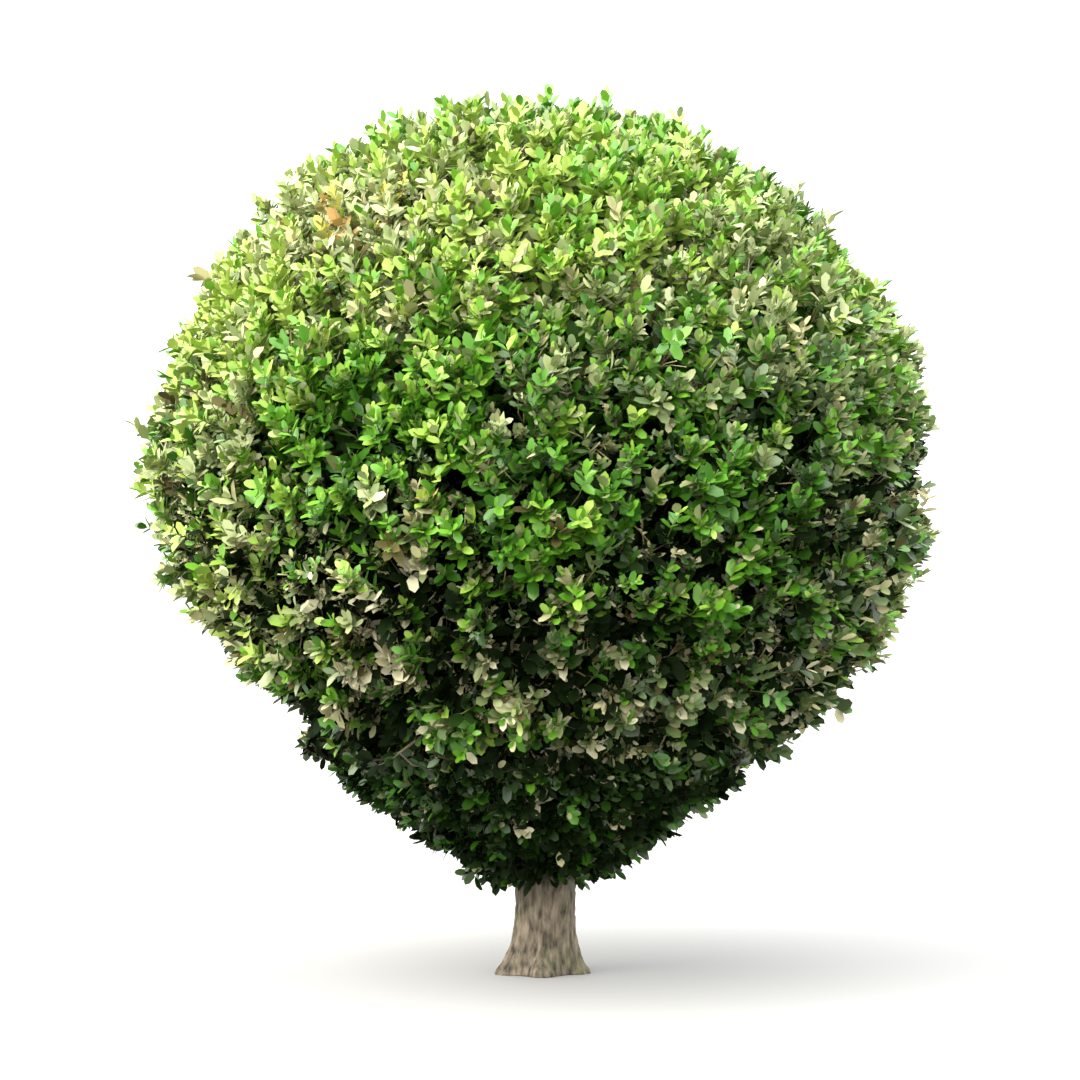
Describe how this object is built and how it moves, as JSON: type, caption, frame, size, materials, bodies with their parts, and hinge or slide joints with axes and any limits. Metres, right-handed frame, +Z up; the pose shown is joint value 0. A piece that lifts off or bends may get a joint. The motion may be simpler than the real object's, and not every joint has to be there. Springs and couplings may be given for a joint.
{
  "type": "clipped box ball shrub",
  "caption": "Box shrub clipped to a ball: a short flared stem, spreading boughs, one dense round crown of small leaves and looser growth at its foot.",
  "frame": {"origin": "middle of the stem's flat cut at ground level", "axes": "+Z up the stem, -Y towards the front that the picture shows, +X to the right of that view"},
  "size_m": [0.9998, 0.998, 1.0989],
  "materials": {
    "bark": "rough grey-brown bark, pale where old twigs were clipped",
    "crown_leaves": "small oval leaves with a soft shine, yellow-green where new and dark blue-green where old",
    "foot_leaves": "small dark oval leaves with a soft shine, looser and shaded"
  },
  "bodies": {
    "root": {"stem": "bark", "bough_leader": "bark", "bough_1": "bark", "bough_2": "bark", "bough_3": "bark", "bough_4": "bark", "bough_5": "bark", "bough_6": "bark", "crown_foliage": "crown_leaves", "foot_foliage": "foot_leaves"}
  },
  "joints": []
}
